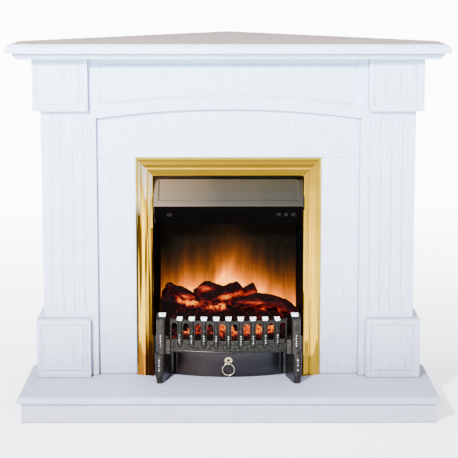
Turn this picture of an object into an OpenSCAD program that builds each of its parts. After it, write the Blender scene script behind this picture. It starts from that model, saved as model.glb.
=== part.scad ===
/* [Mantelshelf] */
// Width of the mantelshelf
shelf_w = 1176; // [1130:2:1240]
// How far the shelf stands in front of the recessed fascia
shelf_front = 101; // [90:1:120]
// Thickness of the moulded top board
shelf_t = 25; // [22:1:30]
// Radius of the ovolo round the top board
shelf_ovolo = 17; // [10:1:18]
// Thickness of the cornice under the top board
cornice_t = 17; // [14:1:22]
// How far the cornice sits back from the nose of the shelf
cornice_inset = 17; // [12:1:24]
// Width of the mitred cornice strips
cornice_w = 60; // [50:1:70]
// Radius of the ovolo under the cornice
cornice_ovolo = 8; // [5:1:10]
// Step between the band of the cornice and its ovolo
cornice_step = 4; // [2:1:8]

/* [Carcass] */
// Height of the surround between the hearth and the cornice
carcass_h = 881; // [860:1:920]
// How far the straight sides of the shelf reach behind the fascia
side_reach = 48; // [44:1:92]
// Width across the two fluted face boards
carcass_w = 1016; // [990:2:1040]
// Width of one fluted face board
face_w = 148.5; // [140:0.5:156]
// Thickness of the face boards and the frieze
face_t = 16.5; // [12:0.5:20]
// Thickness of the recessed fascia boards
fascia_t = 16; // [12:1:19]
// Thickness of the side panels
side_t = 16; // [12:1:22]

/* [Flutes and routed panels] */
// Number of flutes on a face board
flute_n = 4; // [2:1:4]
// Distance between flutes
flute_pitch = 29.6; // [24:0.2:32]
// Radius of the flute cutter
flute_r = 7; // [5:0.5:9]
// Depth of a flute
flute_depth = 4; // [2:0.5:5]
// Height of plain board between a block and the end of a flute
flute_end = 16; // [10:1:30]
// Radius of the cutter for the routed panels
route_r = 5.5; // [4:0.5:7]
// Depth of the routed lines
route_depth = 3.5; // [2:0.5:4]
// Distance from the edge of a block to its routed line
block_margin = 17; // [14:1:24]

/* [Blocks] */
// Width of the cap and base blocks
block_w = 148; // [140:1:156]
// Thickness of the blocks on the face boards
block_t = 22; // [16:1:26]
// How far the blocks stand out at the side of the face boards
block_side = 19; // [12:1:22]
// Height of the cap blocks
cap_h = 142; // [130:1:160]
// Height of the base blocks
base_h = 163; // [150:1:190]

/* [Frieze] */
// Height of the frieze over the middle of the arch
frieze_h = 138; // [125:1:150]
// Rise of the arch under the frieze
arch_rise = 25; // [15:1:32]
// Distance between the arch and the routed line above it
arch_margin = 34; // [26:1:40]
// Distance from the side and top of the frieze to its routed line
frieze_margin = 15; // [12:1:24]

/* [Hearth] */
// Width of the hearth slab
hearth_w = 1118; // [1090:2:1160]
// How far the hearth slab reaches in front of the fascia
hearth_front = 215; // [190:1:240]
// Thickness of the hearth slab
slab_t = 16; // [16:1:25]
// Radius of the nose of the hearth slab
slab_nose = 11; // [6:1:12]
// Height of the plinth
plinth_h = 56; // [45:1:80]
// How far the slab overhangs the plinth
slab_over = 11; // [8:1:20]
// Thickness of the plinth boards
plinth_t = 16; // [12:1:22]

/* [Brass trim] */
// Width of the trim
trim_w = 508; // [500:2:520]
// Height of the trim above the hearth
trim_h = 609; // [595:1:625]
// Width of a trim strip
trim_strip = 48; // [48:1:54]
// Sheet thickness of the trim
trim_sheet = 1.5; // [1:0.1:2]

/* [Insert] */
// Depth of the insert behind the fascia
insert_d = 190; // [185:1:230]
// Sheet thickness of the insert housing
sheet = 1.5; // [1:0.1:2]
// Clearance of the insert in the opening of the fascia
insert_gap = 1.5; // [1:0.5:3]
// Distance of the flame screen behind the fascia
screen_y = 110; // [100:1:115]
// Thickness of the flame screen
screen_t = 3; // [2:0.5:4]
// Taper of the firebox cheeks over their depth
cheek_taper = 13; // [6:1:16]
// Height of the heater compartment below the top of the insert
heater_h = 146; // [138:1:153]

/* [Hood and outlet] */
// How far the lip of the hood lies below the top of the insert
hood_drop = 79; // [73:1:85]
// How far the lip of the hood stands in front of the fascia
hood_front = 38; // [30:1:44]
// Columns of holes in the outlet
vent_cols = 18; // [10:1:20]
// Rows of holes in the outlet
vent_rows = 4; // [2:1:4]
// Distance between holes of the outlet
vent_pitch = 11.2; // [9:0.2:11.4]
// Radius of the holes of the outlet
vent_r = 2; // [1.5:0.1:2.8]
// Radius of the rocker switches
rocker_r = 9; // [8:0.5:10]
// Width of a rocker switch
rocker_w = 10; // [8:0.5:12]
// Angle between the two states of a rocker
rocker_throw = 14; // [8:1:18]

/* [Fret] */
// Number of turned bars
bar_n = 9; // [5:2:9]
// Distance between the bars along the bow
bar_pitch = 33.2; // [30:0.2:34]
// Bow of the fret between its posts
fret_bow = 26; // [15:1:32]
// How far the middle of the fret stands in front of the fascia
fret_front = 98; // [90:1:104]
// Thickness of the fret plate
fret_t = 5; // [4:0.5:7]
// Height of the lower edge of the fret plate above the hearth
fret_z = 86; // [80:1:95]
// Height of the turned bars
bar_h = 84; // [80:1:90]
// Rise of the cap line towards the middle
bar_crown = 4; // [0:1:8]
// Radius of the turned bars at the waist
bar_r = 7; // [6:0.2:7.4]
// Radius of the flared bar caps
bar_cap_r = 9.4; // [8:0.2:11]
// Height of the windows between the bars
window_h = 46; // [36:1:50]
// Distance between the centres of the posts
post_span = 357; // [350:1:364]
// Height of the posts
post_h = 192; // [184:1:200]
// Width of the posts at the top
post_w = 28; // [24:1:30]
// How far the posts stand in front of the fascia
post_front = 93; // [86:1:98]

/* [Ashpan cover] */
// Width of the ashpan cover
pan_w = 306; // [290:1:312]
// Height of the ashpan cover
pan_h = 83; // [70:1:84]
// Bow of the ashpan cover
pan_bow = 30; // [20:1:36]
// Radius of the ring pull to the middle of its wire
ring_r = 16.4; // [14:0.2:16.6]
// Radius of the wire of the ring pull
ring_wire = 1.6; // [1.2:0.1:2]
// Height of the pivot of the ring above the hearth
ring_z = 40; // [40:1:48]
// Distance from the cover to the middle of the hanging ring
ring_stand = 9; // [8:0.5:12]

/* [Machinery] */
// Radius of the flame rotor
rotor_r = 24; // [18:1:26]
// Radius of the rotor spindle
spindle_r = 3; // [2:0.5:4]
// Rows of reflector blades on the rotor
rotor_rows = 9; // [5:1:11]
// Radius of the tangential impeller
fan_r = 24; // [20:1:26]
// Length of the tangential impeller
fan_len = 210; // [180:5:220]
// Number of impeller blades
fan_blades = 24; // [16:1:28]
// Running clearance of shafts in their bores
run_gap = 0.06; // [0.02:0.01:0.1]

/* [Hidden] */
$fn = 48;
big = 3000;
hair = 0.3;

// Heights
hearth_z = plinth_h + slab_t;
carcass_top = hearth_z + carcass_h;
cornice_top = carcass_top + cornice_t;
shelf_top = cornice_top + shelf_t;

// The fascia plane lies at zero depth in every module and is moved here
corner_reach = shelf_w / 2 + side_reach;
depth = hearth_front + corner_reach;
fascia_y = hearth_front - depth / 2;

// Half widths
shelf_x = shelf_w / 2;
cornice_x = shelf_x - cornice_inset;
cornice_front_y = shelf_front - cornice_inset;
carcass_x = carcass_w / 2;
face_in = carcass_x - face_w;
block_out = carcass_x + block_side;
block_in = block_out - block_w;
hearth_x = hearth_w / 2;
plinth_x = hearth_x - slab_over;
plinth_y = hearth_front - slab_over;
trim_x = trim_w / 2;
trim_in = trim_x - trim_strip;
trim_top_z = hearth_z + trim_h;
trim_open_z = trim_top_z - trim_strip;
insert_x = trim_in + 2;
opening_x = insert_x + insert_gap;
insert_top = trim_open_z + 2;
opening_top = insert_top + insert_gap;

// Board that fills the corner: straight front and sides, back edges along both walls
module corner_board(hx, front, z0, z1)
    translate([0, 0, z0])
    linear_extrude(z1 - z0)
    polygon([[-hx, -front], [hx, -front], [hx, corner_reach - hx], [0, corner_reach],
        [-hx, corner_reach - hx]]);

// The same board with a moulded edge on its front and sides; the edge is the child
module moulded_board(hx, front, z0, z1)
    intersection() {
        corner_board(hx, front, z0, z1);
        translate([hx, 0, z0]) rotate([90, 0, 0]) linear_extrude(2 * big, center = true) children();
        translate([-hx, 0, z0]) rotate([90, 0, 180]) linear_extrude(2 * big, center = true) children();
        translate([0, -front, z0]) rotate([90, 0, -90]) linear_extrude(2 * big, center = true) children();
    }

// Quarter round over a square lip; the tip of the edge is at zero
module ovolo_nose(t, r) {
    translate([-big, 0]) square([big - r, t]);
    translate([-big, 0]) square([big, t - r]);
    translate([-r, t - r]) circle(r);
}

// Square band over a smaller quarter round
module cornice_nose() {
    r = cornice_ovolo;
    translate([-big, r]) square([big, cornice_t - r]);
    translate([-big, 0]) square([big - cornice_step - r, cornice_t]);
    translate([-cornice_step - r, r]) circle(r);
}

// Board that stands along both walls, from the corner of the room out to x_end
module wall_board(x_end, t, z0, z1) {
    back = t * sqrt(2);
    for (side = [0, 1])
        mirror([side, 0, 0])
        translate([0, 0, z0])
        linear_extrude(z1 - z0)
        polygon([[0, corner_reach], [0, corner_reach - back],
            [x_end, corner_reach - x_end - back], [x_end, corner_reach - x_end]]);
}

module right(side) mirror([side > 0 ? 0 : 1, 0, 0]) children();

// ---- mantelshelf ----
module mantel_board() color("white") in_row_frame()
    moulded_board(shelf_x, shelf_front, cornice_top, shelf_top) ovolo_nose(shelf_t, shelf_ovolo);

sub_x = cornice_x - cornice_w;
sub_y = cornice_front_y - cornice_w;
mitre_over = 10;

module mantel_subboard() color("white") in_row_frame()
    corner_board(sub_x, sub_y, carcass_top, cornice_top);

module cornice_solid()
    moulded_board(cornice_x, cornice_front_y, carcass_top, cornice_top) cornice_nose();

module cornice_front() color("white") in_row_frame()
    intersection() {
        cornice_solid();
        linear_extrude(big)
            polygon([[-cornice_x - mitre_over, -cornice_front_y - mitre_over],
                [cornice_x + mitre_over, -cornice_front_y - mitre_over],
                [sub_x, -sub_y], [-sub_x, -sub_y]]);
    }

module cornice_returns() color("white") in_row_frame()
    for (side = [-1, 1])
        right(side)
        intersection() {
            cornice_solid();
            linear_extrude(big)
                polygon([[cornice_x + mitre_over, -cornice_front_y - mitre_over],
                    [cornice_x + mitre_over, corner_reach], [sub_x, corner_reach],
                    [sub_x, -sub_y]]);
        }

// ---- carcass ----
flute_sink = flute_r - flute_depth;
flute_half = sqrt(flute_r * flute_r - flute_sink * flute_sink);
flute_z0 = hearth_z + base_h + flute_end + flute_half;
flute_z1 = carcass_top - cap_h - flute_end - flute_half;

module face_board(side) in_row_frame()
    right(side)
    difference() {
        translate([face_in, -face_t, hearth_z]) cube([face_w, face_t, carcass_h]);
        for (i = [0 : flute_n - 1])
            translate([face_in + face_w / 2 + (i - (flute_n - 1) / 2) * flute_pitch,
                -face_t - flute_sink, 0]) {
                translate([0, 0, flute_z0]) cylinder(h = flute_z1 - flute_z0, r = flute_r);
                translate([0, 0, flute_z0]) sphere(flute_r);
                translate([0, 0, flute_z1]) sphere(flute_r);
            }
    }
module face_board_left() color("white") face_board(-1);
module face_board_right() color("white") face_board(1);

// Ball-nosed line routed round a rectangle on a front face at depth y
module routed_rectangle(x0, x1, z0, z1, y)
    translate([0, y - (route_r - route_depth), 0]) {
        for (x = [x0, x1]) {
            translate([x, 0, z0]) cylinder(h = z1 - z0, r = route_r);
            for (z = [z0, z1]) translate([x, 0, z]) sphere(route_r);
        }
        for (z = [z0, z1])
            translate([x0, 0, z]) rotate([0, 90, 0]) cylinder(h = x1 - x0, r = route_r);
    }

block_y = face_t + block_t;
module block(side, z, h) in_row_frame()
    right(side)
    difference() {
        translate([block_in, -block_y, z]) cube([block_w, block_t, h]);
        routed_rectangle(block_in + block_margin, block_out - block_margin,
            z + block_margin, z + h - block_margin, -block_y);
    }
module cap_block_left() color("white") block(-1, carcass_top - cap_h, cap_h);
module cap_block_right() color("white") block(1, carcass_top - cap_h, cap_h);
module base_block_left() color("white") block(-1, hearth_z, base_h);
module base_block_right() color("white") block(1, hearth_z, base_h);

// Strip of board in depth that ends on the wall
module depth_board(x0, x1, front, z0, z1)
    translate([0, 0, z0])
    linear_extrude(z1 - z0)
    polygon([[x0, -front], [x1, -front], [x1, corner_reach - x1], [x0, corner_reach - x0]]);

module block_returns() color("white") in_row_frame()
    for (side = [-1, 1])
        right(side) {
            depth_board(carcass_x, block_out, face_t, carcass_top - cap_h, carcass_top);
            depth_board(carcass_x, block_out, face_t, hearth_z, hearth_z + base_h);
        }

side_in = carcass_x - side_t;
module side_panel(side) in_row_frame()
    right(side) depth_board(side_in, carcass_x, 0, hearth_z, carcass_top);
module side_panel_left() color("white") side_panel(-1);
module side_panel_right() color("white") side_panel(1);

module fascia_header() color("white") in_row_frame() {
    translate([-side_in, 0, trim_top_z]) cube([2 * side_in, fascia_t, carcass_top - trim_top_z]);
    translate([-opening_x, 0, opening_top])
        cube([2 * opening_x, fascia_t, trim_top_z - opening_top]);
}
module fascia_panel(side) in_row_frame()
    right(side)
    translate([opening_x, 0, hearth_z]) cube([side_in - opening_x, fascia_t, trim_h]);
module fascia_left() color("white") fascia_panel(-1);
module fascia_right() color("white") fascia_panel(1);

// ---- frieze with its arch ----
arch_z = carcass_top - frieze_h;
arch_r = (face_in * face_in + arch_rise * arch_rise) / (2 * arch_rise);
arch_centre = arch_z - arch_r;
line_r = arch_r + arch_margin;
line_x = face_in - frieze_margin;
line_end_z = arch_centre + sqrt(line_r * line_r - line_x * line_x);
line_top_z = carcass_top - frieze_margin;
arch_fn = 720;
line_end = 0.25;

module frieze_lines()
    translate([0, -face_t - (route_r - route_depth), 0]) {
        for (x = [-line_x, line_x]) {
            translate([x, 0, line_end_z]) cylinder(h = line_top_z - line_end_z, r = route_r);
            for (z = [line_end_z, line_top_z]) translate([x, 0, z]) sphere(route_r + line_end);
        }
        translate([-line_x, 0, line_top_z]) rotate([0, 90, 0]) cylinder(h = 2 * line_x, r = route_r);
        intersection() {
            translate([0, 0, arch_centre]) rotate([90, 0, 0])
                rotate_extrude($fn = arch_fn) translate([line_r, 0]) circle(route_r, $fn = 48);
            translate([-line_x, -big / 2, arch_z]) cube([2 * line_x, big, frieze_h]);
        }
    }

module frieze_board() color("white") in_row_frame()
    difference() {
        rotate([90, 0, 0])
            linear_extrude(face_t)
            difference() {
                translate([-face_in, arch_z - arch_rise])
                    square([2 * face_in, frieze_h + arch_rise]);
                translate([0, arch_centre]) circle(arch_r, $fn = arch_fn);
            }
        frieze_lines();
    }

// ---- hearth ----
module hearth_slab() color("white") in_row_frame()
    moulded_board(hearth_x, hearth_front, plinth_h, hearth_z) ovolo_nose(slab_t, slab_nose);

plinth_in = plinth_x - plinth_t;
plinth_in_y = plinth_y - plinth_t;
module plinth_front() color("white") in_row_frame()
    linear_extrude(plinth_h)
    polygon([[-plinth_x, -plinth_y], [plinth_x, -plinth_y], [plinth_in, -plinth_in_y],
        [-plinth_in, -plinth_in_y]]);
module plinth_side(side) in_row_frame()
    right(side)
    linear_extrude(plinth_h)
    polygon([[plinth_x, -plinth_y], [plinth_x, corner_reach - plinth_x],
        [plinth_in, corner_reach - plinth_in], [plinth_in, -plinth_in_y]]);
module plinth_left() color("white") plinth_side(-1);
module plinth_right() color("white") plinth_side(1);

batten = 25;
bearer_x = 190;
bearer_w = 40;
bearer_back = 300;
module carcass_battens() color("burlywood") in_row_frame()
    for (side = [-1, 1])
        right(side) {
            translate([side_in - batten, fascia_t, hearth_z]) cube([batten, batten, carcass_h]);
            translate([bearer_x, -plinth_in_y, 0])
                cube([bearer_w, plinth_in_y + bearer_back, plinth_h]);
        }

rail_h = 45;
rail_t = 20;
module wall_rails() color("burlywood") in_row_frame() {
    wall_board(side_in, rail_t, carcass_top - rail_h, carcass_top);
    wall_board(plinth_in, plinth_t, 0, plinth_h);
}

// ---- brass trim: a pressed section, w across the strip and p standing proud ----
trim_ridge_w = 24;
trim_ridge_p = 14;
trim_land_p = 13;
trim_lip_p = 22;
trim_edge_p = 2;
trim_bend_w = 32;
bead_r = 3.2;
cove_r = (trim_ridge_w * trim_ridge_w + pow(trim_ridge_p - trim_edge_p, 2))
    / (2 * (trim_ridge_p - trim_edge_p));

module trim_cove()
    intersection() {
        translate([trim_ridge_w, trim_ridge_p - cove_r])
            difference() {
                circle(cove_r);
                circle(cove_r - trim_sheet);
            }
        square([trim_ridge_w, trim_ridge_p + 1]);
    }
module trim_lip(t) {
    polygon([[trim_ridge_w - 0.5, trim_land_p - t], [trim_ridge_w - 0.5, trim_land_p],
        [trim_bend_w, trim_land_p], [trim_strip - 4, trim_lip_p - 0.5],
        [trim_strip - 2, trim_lip_p], [trim_strip, trim_lip_p - t], [trim_strip, sheet + 0.1],
        [trim_strip - t, sheet + 0.1], [trim_strip - t, trim_lip_p - t - 1],
        [trim_strip - 2 - t / 2, trim_lip_p - t], [trim_strip - 3.5, trim_lip_p - 0.5 - t],
        [trim_bend_w + t / 3, trim_land_p - t]]);
}
module trim_length(l) {
    linear_extrude(l) trim_cove();
    linear_extrude(l) trim_lip(trim_sheet);
    translate([(trim_ridge_w + trim_bend_w) / 2, trim_land_p - 1, 0]) cylinder(h = l, r = bead_r);
}

// Everything beyond a plane through a point on the front view, leaning by a
module beyond(x, z, a) translate([x, 0, z]) rotate([0, a, 0]) translate([-big / 2, -big / 2, 0])
    cube([big, big, big]);

module trim_side(side) in_row_frame()
    right(side)
    difference() {
        mirror([1, 0, 0]) translate([-trim_x, 0, hearth_z])
            mirror([0, 1, 0]) trim_length(trim_h);
        beyond(trim_x, trim_top_z, -45);
    }
module trim_left() color("gold") trim_side(-1);
module trim_right() color("gold") trim_side(1);
module trim_top() color("gold") in_row_frame()
    difference() {
        translate([-trim_x, 0, trim_top_z]) mirror([0, 1, 0]) rotate([0, 90, 0])
            trim_length(trim_w);
        beyond(trim_x, trim_top_z, 135);
        beyond(-trim_x, trim_top_z, 225);
    }

// ---- housing of the insert ----
flange = 20;
house_x = insert_x - sheet;
apron_h = 108;
apron_z = hearth_z + apron_h;
heater_z = insert_top - heater_h;
house_z0 = hearth_z + sheet;
house_z1 = insert_top - sheet;

module housing_side(side) in_row_frame()
    right(side) {
        translate([house_x, 0, hearth_z]) cube([sheet, insert_d, insert_top - hearth_z]);
        translate([house_x, -sheet, hearth_z])
            cube([flange + sheet, sheet, insert_top - hearth_z]);
    }
module housing_left() color("dimgray") housing_side(-1);
module housing_right() color("dimgray") housing_side(1);
module housing_top() color("dimgray") in_row_frame() {
    translate([-house_x, 0, house_z1]) cube([2 * house_x, insert_d, sheet]);
    translate([-house_x, -sheet, house_z1]) cube([2 * house_x, sheet, flange + sheet]);
}
module housing_base() color("dimgray") in_row_frame() {
    translate([-house_x, 0, hearth_z]) cube([2 * house_x, insert_d, sheet]);
    translate([-house_x, 0, hearth_z]) cube([2 * house_x, sheet, apron_h]);
}

gland_x = 150;
gland_z = hearth_z + 58;
gland_r = 8;
gland_bore_r = 3.8;
gland_flange_r = 11;
gland_len = 24;
module housing_back() color("dimgray") in_row_frame()
    difference() {
        translate([-house_x, insert_d - sheet, house_z0])
            cube([2 * house_x, sheet, house_z1 - house_z0]);
        translate([gland_x, insert_d, gland_z]) rotate([90, 0, 0])
            cylinder(h = 4 * sheet, r = gland_r + hair, center = true);
    }
module mains_gland() color("black") in_row_frame()
    translate([gland_x, insert_d, gland_z]) rotate([-90, 0, 0])
    difference() {
        union() {
            translate([0, 0, -gland_len / 2]) cylinder(h = gland_len, r = gland_r);
            cylinder(h = 4, r = gland_flange_r);
            translate([0, 0, -sheet - 4]) cylinder(h = 4, r = gland_flange_r);
        }
        translate([0, 0, -gland_len]) cylinder(h = 2 * gland_len, r = gland_bore_r);
    }

outlet_y = 31;
module heater_shelf() color("dimgray") in_row_frame()
    translate([-house_x, outlet_y, heater_z])
    cube([2 * house_x, insert_d - sheet - outlet_y, sheet]);

// ---- hood and sloping outlet panel ----
hood_x = trim_in - 2;
lip_z = insert_top - hood_drop;
hood_top_y = 18;
hood_top_z = house_z1 - 5;
hood_slope = atan2(hood_top_y + hood_front, hood_top_z - lip_z);
hood_len = norm([hood_top_y + hood_front, hood_top_z - lip_z]);
vent_top_z = lip_z - 4;
vent_slope = atan2(outlet_y + hood_front, vent_top_z - heater_z);
vent_len = norm([outlet_y + hood_front, vent_top_z - heater_z]);
hood_panel_x = hood_x - 14;
hood_panel_z0 = 14;
hood_panel_z1 = 78;
hood_bead_r = 1.1;
hood_bead_y = -0.2;

module on_hood() translate([0, -hood_front, lip_z]) rotate([-hood_slope, 0, 0]) children();
module on_vent() translate([0, outlet_y, heater_z]) rotate([vent_slope, 0, 0]) children();

module hood() color("rosybrown") in_row_frame() {
    on_hood() {
        translate([-hood_x, 0, 0]) cube([2 * hood_x, sheet, hood_len]);
        for (z = [hood_panel_z0, hood_panel_z1])
            translate([0, hood_bead_y, z]) rotate([0, 90, 0])
                cylinder(h = 2 * hood_panel_x, r = hood_bead_r, center = true);
        for (x = [-hood_panel_x, hood_panel_x]) {
            translate([x, hood_bead_y, hood_panel_z0])
                cylinder(h = hood_panel_z1 - hood_panel_z0, r = hood_bead_r);
            for (z = [hood_panel_z0, hood_panel_z1])
                translate([x, hood_bead_y, z]) sphere(hood_bead_r + 0.2);
        }
    }
    translate([-hood_x, -hood_front, vent_top_z]) cube([2 * hood_x, sheet, lip_z - vent_top_z]);
    translate([-hood_x, hood_top_y, hood_top_z - sheet])
        cube([2 * hood_x, sheet, house_z1 - hood_top_z + sheet]);
    for (side = [-1, 1])
        right(side)
        translate([hood_x, 0, 0]) rotate([90, 0, -90])
        linear_extrude(sheet)
        polygon([[-hood_top_y - sheet / 2, hood_top_z - hair], [hood_front - sheet / 2, lip_z - hair],
            [hood_front - sheet / 2, vent_top_z + hair], [-outlet_y, heater_z + sheet],
            [-outlet_y - sheet, heater_z + sheet], [-outlet_y - sheet, hood_top_z - hair]]);
}

vent_x = hood_x - sheet - hair;
vent_z0 = 4;
vent_z1 = vent_len - 1.5;
vent_first = 29.5;
rocker_x0 = hood_x - 65.5;
rocker_step = 19.5;
rocker_z = vent_len - 43;
rocker_y = rocker_r - 3;
rocker_window = sqrt(rocker_r * rocker_r - pow(rocker_y - sheet, 2)) + hair;
receiver_x = 42 - hood_x;
receiver_r = 6;
vent_row = 10.5;

module vent_panel() color("black") in_row_frame()
    on_vent()
    difference() {
        translate([-vent_x, 0, vent_z0]) cube([2 * vent_x, sheet, vent_z1 - vent_z0]);
        for (i = [0 : vent_cols - 1], j = [0 : vent_rows - 1])
            translate([(i - (vent_cols - 1) / 2) * vent_pitch - 4, sheet / 2,
                vent_first + j * vent_row])
                rotate([90, 0, 0]) cylinder(h = 3 * sheet, r = vent_r, center = true);
        for (i = [0 : 2])
            translate([rocker_x0 + i * rocker_step - rocker_w / 2 - hair, -1,
                rocker_z - rocker_window])
                cube([rocker_w + 2 * hair, 2 + sheet, 2 * rocker_window]);
        translate([receiver_x, 0, rocker_z]) rotate([90, 0, 0])
            cylinder(h = 4 * sheet, r = receiver_r, center = true);
    }

module receiver_window() color("darkred") in_row_frame()
    on_vent()
    translate([receiver_x, 0, rocker_z]) rotate([90, 0, 0]) {
        cylinder(h = 1.2, r = receiver_r + 2);
        translate([0, 0, -sheet]) cylinder(h = sheet + 0.5, r = receiver_r - 0.05);
    }

// Rocker: a round drum cut to two shallow faces that meet in a valley
stub_r = 1.2;
stub_len = 1.4;
face_dip = 0.9;
module rocker(i) in_row_frame()
    on_vent()
    translate([rocker_x0 + i * rocker_step, rocker_y, rocker_z])
    rotate([-rocker_throw / 2, 0, 0]) {
        rotate([90, 0, 90])
            intersection() {
                cylinder(h = rocker_w, r = rocker_r, center = true);
                linear_extrude(rocker_w + 2, center = true)
                    polygon([[3, -rocker_r], [3, rocker_r], [-rocker_y - 2.2, rocker_r],
                        [-rocker_y - 2.2 + face_dip, 0], [-rocker_y - 2.2, -rocker_r]]);
            }
        rotate([0, 90, 0])
            cylinder(h = rocker_w + 2 * stub_len, r = stub_r, center = true);
    }
module switch_power() color("dimgray") rocker(0);
module switch_low_heat() color("dimgray") rocker(1);
module switch_high_heat() color("dimgray") rocker(2);

frame_wall = 1.6;
frame_depth = rocker_y + 8;
module switch_frames() color("black") in_row_frame()
    on_vent()
    for (i = [0 : 2])
        translate([rocker_x0 + i * rocker_step, 0, rocker_z]) {
            difference() {
                translate([-rocker_w / 2 - hair - frame_wall, sheet, -rocker_r - hair - frame_wall])
                    cube([rocker_w + 2 * (hair + frame_wall), frame_depth,
                        2 * (rocker_r + hair + frame_wall)]);
                translate([-rocker_w / 2 - hair, 0, -rocker_r - hair])
                    cube([rocker_w + 2 * hair, frame_depth, 2 * (rocker_r + hair)]);
                translate([0, rocker_y, 0]) rotate([0, 90, 0])
                    cylinder(h = 3 * rocker_w, r = stub_r + run_gap, center = true);
            }
        }

// ---- firebox ----
cheek_z1 = heater_z;
module cheek(side) in_row_frame()
    right(side)
    translate([0, 0, apron_z])
    linear_extrude(cheek_z1 - apron_z)
    polygon([[house_x - sheet, sheet], [house_x, sheet],
        [house_x - cheek_taper, screen_y + screen_t],
        [house_x - cheek_taper - sheet, screen_y + screen_t]]);
module cheek_left() color("black") cheek(-1);
module cheek_right() color("black") cheek(1);

screen_x = house_x - cheek_taper - sheet - hair / 2;
module flame_screen() color("orange") in_row_frame()
    translate([-screen_x, screen_y, apron_z]) cube([2 * screen_x, screen_t, cheek_z1 - apron_z]);

// Logs: each is a list of [x, depth, height above the bed floor, radius]
hollow_log = [[-168, 66, 127, 9], [-140, 68, 113, 14], [-106, 64, 97, 14]];
hump_log = [[-89, 92, 104, 11], [-60, 90, 121, 16], [-20, 88, 108, 13]];
rear_log = [[16, 76, 90, 13], [66, 82, 113, 15]];
centre_log = [[-72, 24, 98, 15], [-26, 38, 108, 18], [20, 52, 124, 19]];
big_log = [[24, -2, 94, 15], [78, 4, 102, 20], [130, 6, 98, 19], [180, 8, 72, 14]];
log_seat = -0.6;

// Underside of a log over a point, or a high value beside it
function under_piece(a, b, x, y) = let (d = [b[0] - a[0], b[1] - a[1]],
    t = max(0, min(1, ([x - a[0], y - a[1]] * d) / (d * d))),
    r = a[3] + (b[3] - a[3]) * t, z = a[2] + (b[2] - a[2]) * t,
    g = norm([x - a[0] - t * d[0], y - a[1] - t * d[1]]))
    g < r ? z - sqrt(r * r - g * g) - log_seat : g < r + 10 ? z - 0.6 * r : big;
function under_log(log, x, y) = min([for (k = [0 : len(log) - 2])
    under_piece(log[k], log[k + 1], x, y)]);
function under_logs(x, y) = min([for (log = [hollow_log, hump_log, rear_log, centre_log, big_log])
    under_log(log, x, y)]);

// Bed of embers: a lumpy heap between the fret and the flame screen
fret_c = post_span / 2 - post_w / 2 - 5.5;
bow_r = (fret_c * fret_c + fret_bow * fret_bow) / (2 * fret_bow);
bow_y = bow_r - fret_front;
bed_z0 = apron_z + hair;
bed_front_gap = 4;
bed_nx = 44;
bed_ny = 18;
bed_front_x = fret_c - 4;
bed_back_x = screen_x - 3;
bed_front_h = 58;
bed_rise = 42;
bed_noise = rands(-1, 1, (bed_nx + 1) * (bed_ny + 1), 11);

function bed_front(x) = bow_y - sqrt(pow(bow_r - fret_t - bed_front_gap, 2) - x * x);
function bed_half(t) = t < 0.45 ? bed_front_x : bed_front_x
    + (bed_back_x - bed_front_x) * min(1, (t - 0.45) / 0.08);
function bed_x(i, j) = (2 * i / bed_nx - 1) * bed_half(j / bed_ny);
function bed_y(i, j) = let (f = bed_front(min(bed_front_x, abs(bed_x(i, j)))), t = j / bed_ny)
    f + (screen_y - 1.5 - f) * t;
// The heap is low behind the large log and high in its left back corner
function bed_back_rise(x) = bed_rise * (x < 20 ? 1 : x > 80 ? 0.3 : 1 - 0.7 * (x - 20) / 60)
    + 30 * exp(-pow((x + 166) / 26, 2));
function bed_heap(i, j) = bed_front_h + bed_back_rise(bed_x(i, j)) * sin(j / bed_ny * 90)
    - 16 * pow(2 * i / bed_nx - 1, 4)
    + 4.5 * sin(i * 47 + j * 61) + 3.5 * cos(i * 83 - j * 37) + 3 * bed_noise[bed_id(i, j)]
    - (j == 0 ? 7 : 0);
function bed_h(i, j) = max(20, min(bed_heap(i, j), under_logs(bed_x(i, j), bed_y(i, j))));
function bed_id(i, j) = j * (bed_nx + 1) + i;

module ember_bed() color("orangered") in_row_frame() ember_heap();
module ember_heap() {
    n = (bed_nx + 1) * (bed_ny + 1);
    top = [for (j = [0 : bed_ny], i = [0 : bed_nx]) [bed_x(i, j), bed_y(i, j), bed_z0 + bed_h(i, j)]];
    low = [for (j = [0 : bed_ny], i = [0 : bed_nx]) [bed_x(i, j), bed_y(i, j), bed_z0]];
    edge = concat([for (i = [0 : bed_nx - 1]) bed_id(i, 0)], [for (j = [0 : bed_ny - 1]) bed_id(bed_nx, j)],
        [for (i = [bed_nx : -1 : 1]) bed_id(i, bed_ny)], [for (j = [bed_ny : -1 : 1]) bed_id(0, j)]);
    polyhedron(concat(top, low), concat(
        [for (j = [0 : bed_ny - 1], i = [0 : bed_nx - 1])
            [bed_id(i, j), bed_id(i, j + 1), bed_id(i + 1, j)]],
        [for (j = [0 : bed_ny - 1], i = [0 : bed_nx - 1])
            [bed_id(i + 1, j), bed_id(i, j + 1), bed_id(i + 1, j + 1)]],
        [for (k = [0 : len(edge) - 1])
            let (a = edge[k], b = edge[(k + 1) % len(edge)]) [a, b, b + n]],
        [for (k = [0 : len(edge) - 1])
            let (a = edge[k], b = edge[(k + 1) % len(edge)]) [a, b + n, a + n]],
        [for (j = [0 : bed_ny - 1], i = [0 : bed_nx - 1])
            [n + bed_id(i, j), n + bed_id(i + 1, j), n + bed_id(i, j + 1)]],
        [for (j = [0 : bed_ny - 1], i = [0 : bed_nx - 1])
            [n + bed_id(i + 1, j), n + bed_id(i + 1, j + 1), n + bed_id(i, j + 1)]]));
}

log_fn = 16;
module log(points)
    for (k = [0 : len(points) - 2])
        hull()
            for (p = [points[k], points[k + 1]])
                translate([p[0], p[1], bed_z0 + p[2]]) sphere(p[3], $fn = log_fn);

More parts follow.
